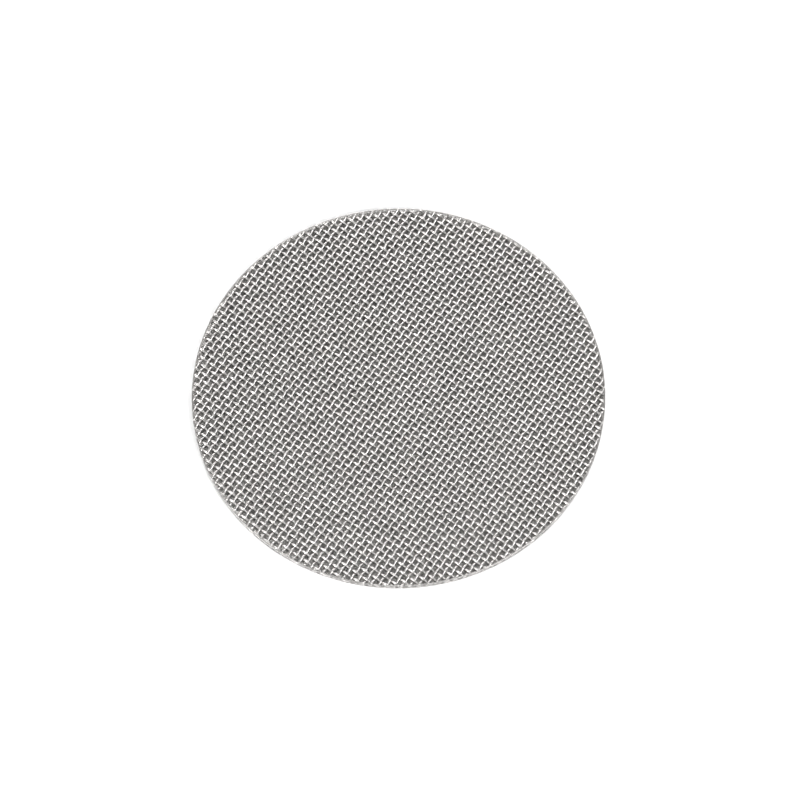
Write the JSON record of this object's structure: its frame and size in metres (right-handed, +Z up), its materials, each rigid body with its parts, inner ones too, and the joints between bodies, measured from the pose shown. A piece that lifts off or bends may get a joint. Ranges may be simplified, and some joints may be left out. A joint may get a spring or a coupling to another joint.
{
  "type": "puck screen",
  "caption": "Flat round screen of sintered stainless wire cloth, coarse plain weave over fine, that lies on the ground coffee in an espresso basket.",
  "frame": {"origin": "centre of the underside, where the fine cloth rests on the coffee", "axes": "+Z up through the disc to the coarse face; +X along one set of the coarse wires, +Y along the wires that cross them"},
  "size_m": [0.0535, 0.0535, 0.0008],
  "materials": {
    "coarse_wire": "bright annealed wire, woven and sintered",
    "fine_wire": "grey annealed wire, woven and sintered"
  },
  "bodies": {
    "root": {"support_mesh": "coarse_wire", "filter_mesh": "fine_wire"}
  },
  "joints": []
}
